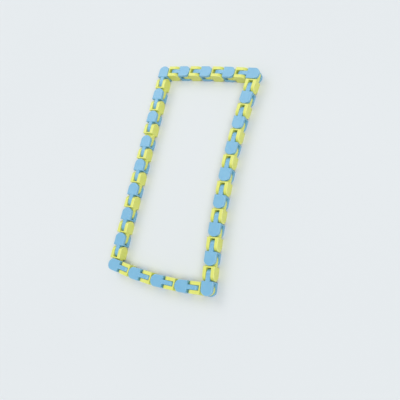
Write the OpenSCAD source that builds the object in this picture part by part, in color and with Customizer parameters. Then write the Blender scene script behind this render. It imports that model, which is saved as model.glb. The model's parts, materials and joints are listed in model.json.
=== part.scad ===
// Fidget track: a loop of two-colour click-together links, laid flat as a long four-sided loop.
// Each link has a fork at one end and a tongue at the other, with their pivots a quarter turn apart.
// Units are millimetres. X is the short side, Y the long side, Z up; the origin is under the loop's middle.

/* [Chain] */
// Distance from a link's fork pivot to its tongue pivot
pitch = 14; // [12:0.5:18]
// Links along each long side
long_links = 16; // [8:2:24]
// Links along each short side
short_links = 8; // [4:2:16]

/* [Head] */
// Width and height of a link's square section
section = 12; // [10:0.5:12.5]
// How far the round end stands out past half the section
end_bulge = 0.3; // [0.1:0.05:0.8]
// Wall between the fork's slot and the shoulder
web = 1.5; // [1.2:0.1:2]
// Rounding of the outer edges
edge_round = 0.45; // [0.3:0.05:1]

/* [Tongue and pivot] */
// Tongue thickness
tongue_thick = 4.5; // [3.4:0.1:4.8]
// Radius of the pivot nubs
nub_radius = 2; // [1.4:0.1:2.4]
// How far a nub stands out of the tongue's face
nub_height = 0.8; // [0.6:0.05:1.1]
// How far the click rib stands into the slot
rib_height = 0.15; // [0.1:0.05:0.2]

/* [Clearances] */
// Tongue face to fork cheek
slot_gap = 0.2; // [0.1:0.05:0.4]
// Tongue end to the wall behind it
turn_gap = 0.3; // [0.25:0.05:0.5]
// Round end to the neighbour's shoulder
end_gap = 0.3; // [0.2:0.05:0.8]
// Nub to socket, on the radius
pivot_gap = 0.08; // [0.05:0.01:0.1]
// Nub end to socket floor
floor_gap = 0.1; // [0.05:0.05:0.3]

/* [Loop as laid] */
// Links between the upper left corner and the pivot where the loop opens
open_links = 6; // [2:2:14]
// Extra space at that pivot, so the two ends can pass each other
open_gap = 2; // [1.8:0.1:4]
// Angle between the left and bottom sides
corner_angle = 92; // [88:0.5:94]
// Bend at each flat pivot of the bottom side
bottom_bend_angle = 4.5; // [0:0.1:6]
// Bend at each flat pivot of the right side
right_bend_angle = -1.9; // [-3:0.1:0]
// Bend at each flat pivot of the top side
top_bend_angle = 1.2; // [0:0.1:3]

/* [Hidden] */
$fn = 48;
past = 1;
half = section / 2;
head_radius = half + end_bulge;
shoulder = pitch - end_gap - head_radius;
slot_root = shoulder - web;
slot = tongue_thick + 2 * slot_gap;
tongue_half = min(slot_root - turn_gap, half);
// The foot's slope ends where the neighbour's wall can reach at a quarter turn
foot_end = pitch - half - 0.3;
socket_radius = nub_radius + pivot_gap;
socket_depth = nub_height - slot_gap + floor_gap;
// The lead-in ramp stops short of the socket and leaves a land that holds the nub
ramp_end = -socket_radius - 0.6;
nub_chamfer = nub_height / 2;
rib_radius = 0.5;
click_depth = 0.3;
click_radius = rib_radius + 0.1;
count = 2 * (long_links + short_links);

// Loop layout
function polar(r, a) = r * [cos(a), sin(a)];
function turned(v, a) = [v.x * cos(a) - v.y * sin(a), v.x * sin(a) + v.y * cos(a)];
// End to end length of n two-link steps with the same bend between them
function chord(n, bend) = abs(bend) < 0.001 ? 2 * n * pitch : 2 * pitch * sin(n * bend / 2) / sin(bend / 2);
function fan(dir, n, bend) = [for (k = [0 : n - 1]) dir + (k - (n - 1) / 2) * bend];

// Four sides taken as the bars of a quadrilateral, with its upper left corner at zero
bottom_length = chord(short_links / 2, bottom_bend_angle);
right_length = chord(long_links / 2, right_bend_angle);
top_length = chord(short_links / 2, top_bend_angle);
bottom_dir = 90 - corner_angle;
lower_right = [0, -long_links * pitch - open_gap] + polar(bottom_length, bottom_dir);
across = norm(lower_right);
across_dir = atan2(-lower_right.y, -lower_right.x);
right_cos = (right_length ^ 2 + across ^ 2 - top_length ^ 2) / (2 * right_length * across);
right_dir = across_dir - acos(right_cos);
upper_right = lower_right + polar(right_length, right_dir);
top_dir = atan2(-upper_right.y, -upper_right.x);

// One heading for each blue link and the yellow link after it, from the open pivot round the loop
headings = concat(
    fan(-90, (long_links - open_links) / 2, 0),
    fan(bottom_dir, short_links / 2, bottom_bend_angle),
    fan(right_dir, long_links / 2, right_bend_angle),
    fan(top_dir, short_links / 2, top_bend_angle),
    fan(-90, open_links / 2, 0)
);
first = [0, -open_links * pitch - open_gap];
steps = [for (k = 0, at = first; k < len(headings); at = at + polar(2 * pitch, headings[k]), k = k + 1) at];
function heading(i) = headings[floor(i / 2)];
function pivot(i) = steps[floor(i / 2)] + polar(i % 2 * pitch, heading(i));

// Outline points of a head, used to put the origin under the middle of the loop
arc_start = -sqrt(head_radius ^ 2 - half ^ 2);
outline = [[-head_radius, 0], [arc_start, half], [arc_start, -half], [shoulder, half], [shoulder, -half]];
reach = [for (i = [0 : count - 1]) for (v = outline) pivot(i) + turned(v, heading(i))];
xs = [for (v = reach) v.x];
ys = [for (v = reach) v.y];
middle = [min(xs) + max(xs), min(ys) + max(ys)] / 2;

function two(n) = n < 10 ? str("0", n) : str(n);

module rounded(x0, x1, y, r) {
    translate([x0, r - y]) square([x1 - x0, 2 * (y - r)]);
    translate([x0 + r, -y]) square([x1 - x0 - 2 * r, 2 * y]);
    for (x = [x0 + r, x1 - r], v = [r - y, y - r])
        translate([x, v]) circle(r);
}

// Square bar along X, rounded on its long edges and round the shoulder
module bar() {
    tail = -head_radius - past;
    intersection() {
        translate([tail, 0, 0]) rotate([90, 0, 90])
            linear_extrude(shoulder - tail) rounded(-half, half, half, edge_round);
        translate([0, 0, -half]) linear_extrude(section) rounded(tail, shoulder, half, edge_round);
        rotate([90, 0, 0]) translate([0, 0, -half])
            linear_extrude(section) rounded(tail, shoulder, half, edge_round);
    }
}

// Round end about the fork's pivot, with a rounded rim, carried on as a block towards the shoulder
module round_end() {
    rotate_extrude() intersection() {
        rounded(-head_radius, head_radius, half, edge_round);
        translate([0, -half]) square([head_radius, section]);
    }
    translate([0, -half - past, -half - past])
        cube([shoulder + past, section + 2 * past, section + 2 * past]);
}

// Fork pivot along Z at the origin: slot, blind sockets, lead-in ramps and the rib that clicks
module fork() {
    difference() {
        intersection() {
            bar();
            round_end();
        }
        translate([-head_radius - past, -half - past, -slot / 2])
            cube([head_radius + past + slot_root, section + 2 * past, slot]);
        for (side = [0, 180]) rotate([side, 0, 0]) {
            translate([0, 0, slot / 2 - past]) cylinder(r = socket_radius, h = past + socket_depth);
            rotate([90, 0, 0]) translate([0, 0, -socket_radius]) linear_extrude(2 * socket_radius)
                polygon([
                    [-head_radius - past, slot / 2 - past],
                    [ramp_end, slot / 2 - past],
                    [ramp_end, slot / 2],
                    [-head_radius, slot / 2 + socket_depth],
                    [-head_radius - past, slot / 2 + socket_depth]
                ]);
        }
    }
    translate([slot_root + rib_radius - rib_height, 0, -slot / 2 - edge_round])
        cylinder(r = rib_radius, h = slot + 2 * edge_round);
}

module nub() {
    cylinder(r = nub_radius, h = nub_chamfer);
    translate([0, 0, nub_chamfer])
        cylinder(r1 = nub_radius, r2 = nub_radius - nub_chamfer, h = nub_height - nub_chamfer);
}

// Side outline of the tongue's foot: level with the head's faces at the shoulder, then sloped down
module foot_side() {
    inside = shoulder - web / 2;
    polygon([
        [inside, -half], [shoulder - edge_round, -half], [foot_end, -tongue_half],
        [foot_end, tongue_half], [shoulder - edge_round, half], [inside, half]
    ]);
}

// All that is left of the tongue on the last link, because the loop opens there
module foot() {
    rotate([90, 0, 0]) translate([0, 0, -tongue_thick / 2]) linear_extrude(tongue_thick) foot_side();
}

// Tongue pivot along Y, one pitch from the fork's, with click grooves at rest and at quarter turns
module tongue() {
    rotate([90, 0, 0]) {
        difference() {
            translate([0, 0, -tongue_thick / 2]) linear_extrude(tongue_thick) {
                foot_side();
                translate([shoulder, -tongue_half]) square([pitch - shoulder, 2 * tongue_half]);
                translate([pitch, 0]) circle(tongue_half);
            }
            for (a = [-90, 0, 90]) translate([pitch, 0, 0]) rotate(a)
                translate([tongue_half + click_radius - click_depth, 0, -tongue_thick / 2 - past])
                    cylinder(r = click_radius, h = tongue_thick + 2 * past);
        }
        for (side = [0, 180]) translate([pitch, 0, 0]) rotate([side, 0, 0])
            translate([0, 0, tongue_thick / 2]) nub();
    }
}

module link(last) {
    fork();
    if (last) foot();
    else tongue();
}

module blue_link() {
    color([0.52, 0.73, 0.9]) link(false);
}

module yellow_link(last) {
    color([0.9, 0.93, 0.42]) rotate([90, 0, 0]) link(last);
}

module place(i) {
    at = pivot(i) - middle;
    translate([at.x, at.y, half]) rotate(heading(i)) children();
}

for (i = [0 : count - 1])
    place(i) {
        if (i % 2 == 0) blue_link();
        else yellow_link(i == count - 1);
    }
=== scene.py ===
import json
import math
import bmesh
import bpy
from mathutils import Matrix, Vector


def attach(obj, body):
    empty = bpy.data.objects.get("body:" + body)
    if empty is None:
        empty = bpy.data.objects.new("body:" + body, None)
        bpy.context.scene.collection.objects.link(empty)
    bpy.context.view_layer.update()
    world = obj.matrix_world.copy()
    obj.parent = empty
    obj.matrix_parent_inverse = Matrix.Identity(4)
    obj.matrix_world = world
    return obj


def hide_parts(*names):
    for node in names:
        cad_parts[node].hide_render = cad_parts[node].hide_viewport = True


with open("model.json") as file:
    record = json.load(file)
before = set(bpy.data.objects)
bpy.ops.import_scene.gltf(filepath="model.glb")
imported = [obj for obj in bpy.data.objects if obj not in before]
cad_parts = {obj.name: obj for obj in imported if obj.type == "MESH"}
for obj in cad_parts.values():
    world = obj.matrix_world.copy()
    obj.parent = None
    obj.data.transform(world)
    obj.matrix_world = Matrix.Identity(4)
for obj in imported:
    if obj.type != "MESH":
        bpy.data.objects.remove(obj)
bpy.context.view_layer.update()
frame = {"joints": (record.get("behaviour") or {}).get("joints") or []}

millimetre = 0.001
quarterTurn = math.pi / 2


def linear(colour):
    # screen colour, 0 to 255, to the shader's linear values
    parts = [v / 255 for v in colour]
    return [v / 12.92 if v <= 0.04045 else ((v + 0.055) / 1.055) ** 2.4 for v in parts] + [1]


class Wire:
    # a node's output that can stand in a sum
    def __init__(self, socket):
        self.socket = socket
        self.tree = socket.id_data

    @classmethod
    def node(cls, tree, kind, settings=None, sockets=None, out=0):
        made = tree.nodes.new(kind)
        for name, value in (settings or {}).items():
            setattr(made, name, value)
        for key, value in (sockets or {}).items():
            if isinstance(value, Wire):
                tree.links.new(value.socket, made.inputs[key])
            else:
                made.inputs[key].default_value = value
        return cls(made.outputs[out])

    def sum(self, operation, first, second):
        return Wire.node(self.tree, "ShaderNodeMath", {"operation": operation}, {0: first, 1: second})

    def __add__(self, other):
        return self.sum("ADD", self, other)

    __radd__ = __add__

    def __sub__(self, other):
        return self.sum("SUBTRACT", self, other)

    def __rsub__(self, other):
        return self.sum("SUBTRACT", other, self)

    def __mul__(self, other):
        return self.sum("MULTIPLY", self, other)

    __rmul__ = __mul__

    def into(self, shader, name):
        self.tree.links.new(self.socket, shader.inputs[name])


def newMaterial(name):
    material = bpy.data.materials.new(name)
    material.use_nodes = True
    tree = material.node_tree
    return material, tree, tree.nodes["Principled BSDF"]


def objectPlace(tree):
    return Wire.node(tree, "ShaderNodeTexCoord", out=3)  # Object coordinates


def grainNoise(tree, place, scale, detail=2.0, rough=0.5):
    return Wire.node(tree, "ShaderNodeTexNoise", {"noise_dimensions": "3D"},
                     {"Vector": place, "Scale": scale, "Detail": detail, "Roughness": rough})


def blendColour(tree, factor, first, second):
    return Wire.node(tree, "ShaderNodeMix", {"data_type": "RGBA", "clamp_factor": True},
                     {0: factor, 6: first, 7: second}, out=2)


plasticLook = {
    "blue": ((126, 184, 215), (117, 177, 211), (166, 206, 227)),  # body, deeper patches, paler rims: rubbed wear and a painted edge highlight
    "yellow": ((224, 228, 117), (219, 221, 100), (237, 241, 170)),
    "cloudScale": 140,  # soft colour drift, some 7 mm across
    "cloudDetail": 3.0,
    "cloudStart": 0.35,
    "cloudGain": 1.6,
    "cloudHeight": 0.6,  # its part in the relief
    "smearScale": 420,  # handling marks
    "smearDetail": 4.0,
    "smearRough": 0.6,
    "skinScale": 5200,  # fine moulded texture
    "skinDetail": 1.0,
    "skinHeight": 0.00002,
    "skinStrength": 0.35,
    "edgeRubAndHighlight": 0.9,  # how far the rims go pale: rubbed wear and painted highlight
    "edgeRough": 0.05,
    "roughness": 0.3,
    "roughDrift": 0.12,
    "coat": 0.12,
    "coatRoughness": 0.22,
    "refraction": 1.49,
    "glow": 0.25,  # share of light that passes into the skin
    "glowDepth": 0.0012,
}


def mouldedPlastic(name, body, deep, wornAndHighlit):
    # satin coloured plastic: slight drift in the colour, paler rims (rubbed wear and a painted edge
    # highlight), fine skin
    look = plasticLook
    material, tree, shader = newMaterial(name)
    place = objectPlace(tree)
    cloud = grainNoise(tree, place, look["cloudScale"], look["cloudDetail"])
    smear = grainNoise(tree, place, look["smearScale"], look["smearDetail"], look["smearRough"])
    skin = grainNoise(tree, place, look["skinScale"], look["skinDetail"])
    edge = Wire.node(tree, "ShaderNodeAttribute", {"attribute_name": "edgeWearAndHighlight"}, out=2)
    drift = (cloud - look["cloudStart"]) * look["cloudGain"]
    tone = blendColour(tree, drift, linear(body), linear(deep))
    # painted highlight: the rim bevels are lightened, partly as wear and partly as painted edge highlight
    rubAndHighlight = edge * (smear * look["edgeRubAndHighlight"])
    blendColour(tree, rubAndHighlight, tone, linear(wornAndHighlit)).into(shader, "Base Color")
    roughness = look["roughness"] + smear * look["roughDrift"] + edge * look["edgeRough"]
    roughness.into(shader, "Roughness")
    relief = skin + cloud * look["cloudHeight"]
    bump = Wire.node(tree, "ShaderNodeBump", None,
                     {"Strength": look["skinStrength"], "Distance": look["skinHeight"], "Height": relief})
    bump.into(shader, "Normal")
    shader.inputs["Coat Weight"].default_value = look["coat"]
    shader.inputs["Coat Roughness"].default_value = look["coatRoughness"]
    shader.inputs["IOR"].default_value = look["refraction"]
    shader.inputs["Subsurface Weight"].default_value = look["glow"]
    shader.inputs["Subsurface Radius"].default_value = (1, 1, 1)
    shader.inputs["Subsurface Scale"].default_value = look["glowDepth"]
    return material


plastics = {colour: mouldedPlastic(colour + "Plastic", *plasticLook[colour]) for colour in ("blue", "yellow")}
print("plastics ready")


linkShape = {  # millimetres: the solids' sizes and some softer edges
    "pitch": 14.0,
    "openGap": 2.0,  # extra reach of the last link's tongue
    "half": 6.0,
    "endRadius": 6.3,
    "shoulder": 7.4,
    "slotRoot": 5.9,
    "slotHalf": 2.45,
    "tongueHalf": 5.6,
    "tongueThick": 4.5,
    "tongueStart": 6.4,
    "footStart": 6.95,
    "footEnd": 7.7,
    "footSink": 0.02,  # the foot stays this much under the head's faces
    "nubRadius": 2.0,
    "nubTop": 1.6,
    "nubHeight": 0.8,
    "socketRadius": 2.08,
    "socketDepth": 0.7,
    "rampEnd": 2.68,
    "rampOver": 1.0,  # the ramps are cut from this far outside the round end
    "ribRadius": 0.5,
    "ribHeight": 0.15,
    "grooveRadius": 0.6,
    "grooveDepth": 0.3,
    "cornerRound": 1.0,
    "shoulderRound": 0.6,
    "rimRound": 0.45,
    "slotRound": 0.25,
    "tongueRound": 0.3,
    "tipShare": 0.99,  # of the tongue's half height, so the two halves of its round end don't meet
    "arcSteps": 14,  # from here on, pieces in each curve
    "cornerSteps": 4,
    "rimSteps": 4,
    "slotSteps": 2,
    "tipSteps": 9,
    "tongueSteps": 2,
    "nubSteps": 1,
    "pivotSides": 32,
    "ribSides": 20,
    "grooveSides": 24,
}
near = 0.001
flatTurn, softTurn, sharpTurn = [math.radians(v) for v in (1, 35, 50)]


def at(value, target):
    return abs(value - target) < near


def sharp(edge):
    return len(edge.link_faces) == 2 and edge.calc_face_angle() > sharpTurn


def everything(bm):
    return bm.verts[:] + bm.edges[:] + bm.faces[:]


def bevelEdges(bm, edges, offset, segments, wearAndHighlight=None):
    made = bmesh.ops.bevel(bm, geom=edges, offset=offset, offset_type="OFFSET", segments=segments,
                           profile=0.5, affect="EDGES", clamp_overlap=True, material=-1)
    if wearAndHighlight is not None:
        for face in made["faces"]:
            face[wearAndHighlight] = 1.0


def raiseFaces(bm, faces, step):
    made = bmesh.ops.extrude_face_region(bm, geom=faces)["geom"]
    verts = [g for g in made if isinstance(g, bmesh.types.BMVert)]
    bmesh.ops.translate(bm, verts=verts, vec=step)


def longBlock(low, high, width, height):
    bm = bmesh.new()
    size = Matrix.Diagonal((high - low, width, height, 1))
    bmesh.ops.create_cube(bm, size=1, matrix=Matrix.Translation(((low + high) / 2, 0, 0)) @ size)
    return bm


def roundBar(bm, radius, length, sides, place=Matrix.Identity(4)):
    bmesh.ops.create_cone(bm, cap_ends=True, segments=sides, radius1=radius, radius2=radius,
                          depth=length, matrix=place)


def forkHead():
    s = linkShape
    bm = bmesh.new()
    # marks the rim bevels that the material paints paler, as wear and painted edge highlight
    wearAndHighlight = bm.faces.layers.float.new("edgeWearAndHighlight")
    half, slotHalf = s["half"], s["slotHalf"]
    arcX = -math.sqrt(s["endRadius"] ** 2 - half ** 2)
    # round end: one corner spun about the pivot to the other
    corner = bm.verts.new((arcX, half, -half))
    sweep = 2 * math.atan2(half, -arcX)
    bmesh.ops.spin(bm, geom=[corner], cent=(0, 0, 0), axis=(0, 0, 1), dvec=(0, 0, 0),
                   angle=sweep, steps=s["arcSteps"])
    arc = sorted(bm.verts, key=lambda v: -v.co.y)
    rootLow, rootHigh = [bm.verts.new((s["slotRoot"], y, -half)) for y in (-half, half)]
    backLow, backHigh = [bm.verts.new((s["shoulder"], y, -half)) for y in (-half, half)]
    cheek = bm.faces.new(arc + [rootLow, rootHigh])
    wall = bm.faces.new([rootLow, backLow, backHigh, rootHigh])

    def wallFaces(height):
        return [f for f in bm.faces
                if all(at(v.co.z, height) and v.co.x > s["slotRoot"] - near for v in f.verts)]

    # lower cheek, then the wall behind the slot, then the other half as a mirror image
    raiseFaces(bm, [cheek, wall], (0, 0, half - slotHalf))
    raiseFaces(bm, wallFaces(-slotHalf), (0, 0, slotHalf))
    bmesh.ops.delete(bm, geom=wallFaces(-slotHalf) + wallFaces(0), context="FACES_ONLY")
    bmesh.ops.mirror(bm, geom=everything(bm), matrix=Matrix.Identity(4), merge_dist=near, axis="Z")
    bmesh.ops.remove_doubles(bm, verts=bm.verts, dist=near)
    bmesh.ops.recalc_face_normals(bm, faces=bm.faces)
    bmesh.ops.dissolve_limit(bm, angle_limit=flatTurn, verts=bm.verts, edges=bm.edges)

    def besideSlot(edge):
        onCheek = all(at(abs(v.co.z), slotHalf) for v in edge.verts)
        onWall = all(at(v.co.x, s["slotRoot"]) and at(abs(v.co.y), half) for v in edge.verts)
        return sharp(edge) and (onCheek or onWall)

    # soft corners beside the round end and at the shoulder, then the outer rims, then the slot
    for x, size in ((arcX, s["cornerRound"]), (s["shoulder"], s["shoulderRound"])):
        corners = [e for e in bm.edges if all(at(v.co.x, x) and at(abs(v.co.y), half) for v in e.verts)]
        bevelEdges(bm, corners, size, s["cornerSteps"])
    rims = [e for e in bm.edges if sharp(e) and all(at(abs(v.co.z), half) for v in e.verts)]
    bevelEdges(bm, rims, s["rimRound"], s["rimSteps"], wearAndHighlight)
    bevelEdges(bm, [e for e in bm.edges if besideSlot(e)], s["slotRound"], s["slotSteps"])
    return bm


def pivotSockets():
    # taken out of both cheeks
    s = linkShape
    bm = bmesh.new()
    roundBar(bm, s["socketRadius"], 2 * (s["slotHalf"] + s["socketDepth"]), s["pivotSides"])
    return bm


def leadRamps():
    # taken out of both cheeks, from the round end in towards the sockets
    s = linkShape
    outer, inner = -s["endRadius"] - s["rampOver"], -s["rampEnd"]
    bm = longBlock(outer, inner, 2 * s["socketRadius"], 2 * s["slotHalf"])
    run = s["endRadius"] - s["rampEnd"]
    rise = s["socketDepth"] * (run + s["rampOver"]) / run
    for vert in bm.verts:
        if at(vert.co.x, outer):
            vert.co.z += math.copysign(rise, vert.co.z)
    return bm


def tongueEnd(pivot):
    s = linkShape
    start, tip = s["tongueStart"], pivot + s["tongueHalf"]
    bm = longBlock(start, tip, s["tongueThick"], 2 * (s["half"] - s["footSink"]))
    # level with the head's faces at the foot, then sloped down to the pivot's height
    for cut in (s["footStart"], s["footEnd"]):
        bmesh.ops.bisect_plane(bm, geom=everything(bm), plane_co=(cut, 0, 0), plane_no=(1, 0, 0))
    for vert in bm.verts:
        if vert.co.x > s["footEnd"] - near:
            vert.co.z = math.copysign(s["tongueHalf"], vert.co.z)

    def acrossTip(edge):
        one, other = [v.co for v in edge.verts]
        return at(one.x, tip) and at(other.x, tip) and at(one.z, other.z)

    def onOutline(edge):
        onFace = all(at(abs(v.co.y), s["tongueThick"] / 2) for v in edge.verts)
        return sharp(edge) and onFace and any(v.co.x > start + near for v in edge.verts)

    tips = [e for e in bm.edges if acrossTip(e)]
    bevelEdges(bm, tips, s["tongueHalf"] * s["tipShare"], s["tipSteps"])
    bevelEdges(bm, [e for e in bm.edges if onOutline(e)], s["tongueRound"], s["tongueSteps"])
    return bm


def clickRib():
    # stands out of the wall behind the slot, across the whole slot
    s = linkShape
    bm = bmesh.new()
    place = Matrix.Translation((s["slotRoot"] + s["ribRadius"] - s["ribHeight"], 0, 0))
    roundBar(bm, s["ribRadius"], 2 * (s["slotHalf"] + s["rimRound"]), s["ribSides"], place)
    return bm


def clickGrooves(pivot):
    # taken out of the tongue's rim, at rest and at a quarter turn each way
    s = linkShape
    bm = bmesh.new()
    out = s["tongueHalf"] + s["grooveRadius"] - s["grooveDepth"]
    for quarter in (-1, 0, 1):
        spot = Matrix.Translation((pivot, 0, 0)) @ Matrix.Rotation(quarter * quarterTurn, 4, "Y")
        place = spot @ Matrix.Translation((out, 0, 0)) @ Matrix.Rotation(quarterTurn, 4, "X")
        roundBar(bm, s["grooveRadius"], 2 * s["tongueThick"], s["grooveSides"], place)
    return bm


def pivotNubs(pivot):
    # one pin through the tongue, its two chamfered ends standing out as the nubs
    s = linkShape
    bm = bmesh.new()
    reach = s["tongueThick"] / 2 + s["nubHeight"]
    roundBar(bm, s["nubRadius"], 2 * reach, s["pivotSides"])
    rims = [e for e in bm.edges if abs(sum(v.co.z for v in e.verts)) > 2 * reach - near]
    bevelEdges(bm, rims, s["nubRadius"] - s["nubTop"], s["nubSteps"])
    place = Matrix.Translation((pivot, 0, 0)) @ Matrix.Rotation(quarterTurn, 4, "X")
    bmesh.ops.transform(bm, verts=bm.verts, matrix=place)
    return bm


def meshOf(name, bm):
    mesh = bpy.data.meshes.new(name)
    bm.to_mesh(mesh)
    return mesh


def addObject(name, data):
    item = bpy.data.objects.new(name, data)
    bpy.context.scene.collection.objects.link(item)
    return item


def solidOf(name, bm):
    bmesh.ops.recalc_face_normals(bm, faces=bm.faces)
    item = addObject(name, meshOf(name, bm))
    bm.free()
    return item


def linkBody(pivot):
    # head, less the sockets and ramps, joined in one skin to the tongue, whose nubs are at the pivot
    body = solidOf("head", forkHead())
    steps = [
        ("DIFFERENCE", "socket", pivotSockets()),
        ("DIFFERENCE", "ramp", leadRamps()),
        ("UNION", "tongue", tongueEnd(pivot)),
        ("DIFFERENCE", "grooves", clickGrooves(pivot)),
        ("UNION", "rib", clickRib()),
        ("UNION", "nubs", pivotNubs(pivot)),
    ]
    tools = []
    for operation, name, shape in steps:
        tools.append(solidOf(name, shape))
        join = body.modifiers.new(name, "BOOLEAN")
        join.operation = operation
        join.solver = "EXACT"
        join.object = tools[-1]
    bm = bmesh.new()
    bm.from_object(body, bpy.context.evaluated_depsgraph_get())
    for item in [body] + tools:
        mesh = item.data
        bpy.data.objects.remove(item)
        bpy.data.meshes.remove(mesh)
    bmesh.ops.remove_doubles(bm, verts=bm.verts, dist=near)
    bmesh.ops.scale(bm, vec=(millimetre, millimetre, millimetre), verts=bm.verts)
    for face in bm.faces:
        face.smooth = True
    for edge in bm.edges:
        edge.smooth = len(edge.link_faces) == 2 and edge.calc_face_angle() < softTurn
    return bm


pivots = {int(j["name"][-2:]): Vector(j["pos_m"]) for j in frame["joints"]}
lastLink = len(pivots)


def linkPlace(index):
    # a blue link and the yellow one after it share a heading
    pair = index - index % 2
    first, second = (pivots[pair], pivots[pair + 1]) if pair else (pivots[1], pivots[2])
    along = (second - first).normalized()
    spot = pivots[index] if index else pivots[1] - along * linkShape["pitch"] * millimetre
    turn = Matrix.Rotation(math.atan2(along.y, along.x), 4, "Z")
    roll = Matrix.Rotation(quarterTurn if index % 2 else 0, 4, "X")
    return Matrix.Translation(spot) @ turn @ roll


# the loop opens after the last link, whose tongue reaches over the gap to the first link's pivot
linked = linkBody(linkShape["pitch"])
ending = linkBody(linkShape["pitch"] + linkShape["openGap"])
for index in range(lastLink + 1):
    colour = "yellow" if index % 2 else "blue"
    number = "%02d" % (index // 2 + 1)
    node = colour + "_link_" + number
    piece = colour + "Link" + number
    mesh = meshOf(piece, linked if index < lastLink else ending)
    mesh.transform(linkPlace(index))
    mesh.materials.append(plastics[colour])
    link = addObject(piece, mesh)
    shade = link.modifiers.new("even shading", "WEIGHTED_NORMAL")
    shade.keep_sharp = True
    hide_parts(node)
    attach(link, node)
linked.free()
ending.free()
print("links made:", lastLink + 1)


floorLook = {
    "size": 8.0,
    "tone": (226, 229, 230),
    "shade": (221, 225, 226),
    "cloudScale": 3.0,
    "roughness": 0.7,
}


def paleFloor():
    look = floorLook
    material, tree, shader = newMaterial("paleFloor")
    cloud = grainNoise(tree, objectPlace(tree), look["cloudScale"])
    blendColour(tree, cloud, linear(look["tone"]), linear(look["shade"])).into(shader, "Base Color")
    shader.inputs["Roughness"].default_value = look["roughness"]
    bm = bmesh.new()
    bmesh.ops.create_grid(bm, x_segments=1, y_segments=1, size=look["size"])
    mesh = meshOf("floor", bm)
    bm.free()
    mesh.materials.append(material)
    floor = addObject("floor", mesh)


studio = {  # where from, spread in degrees, strength
    "key": ((0.56, -0.23, 0.9), 36, 1.42),
    "fill": ((-0.55, 0.46, 0.7), 34, 0.72),
    "side": ((-0.8, -0.2, 0.7), 41, 0.17),
}
skyLight = {"tone": (0.93, 0.96, 1, 1), "strength": 0.53}


def softLights():
    for name, (place, spread, strength) in studio.items():
        lamp = bpy.data.lights.new(name, "SUN")
        lamp.angle = math.radians(spread)
        lamp.energy = strength
        item = addObject(name, lamp)
        item.location = place
        item.rotation_euler = Vector(place).to_track_quat("Z", "Y").to_euler()
    world = bpy.data.worlds.new("studio")
    world.use_nodes = True
    sky = world.node_tree.nodes["Background"]
    sky.inputs["Color"].default_value = skyLight["tone"]
    sky.inputs["Strength"].default_value = skyLight["strength"]
    bpy.context.scene.world = world
    bpy.context.scene.view_settings.view_transform = "Standard"


viewpoint = {
    "place": (0.22694, -0.11515, 0.37873),
    "turn": (17.794, 25.177, 13.959),  # degrees
    "lens": 38.54,
    "sensor": 36,
    "nearest": 0.01,
}


def photoCamera():
    lens = bpy.data.cameras.new("camera")
    lens.sensor_width = viewpoint["sensor"]
    lens.lens = viewpoint["lens"]
    lens.clip_start = viewpoint["nearest"]
    camera = addObject("camera", lens)
    camera.location = viewpoint["place"]
    camera.rotation_euler = [math.radians(v) for v in viewpoint["turn"]]
    bpy.context.scene.camera = camera


paleFloor()
softLights()
photoCamera()
print("floor, lights and camera set")
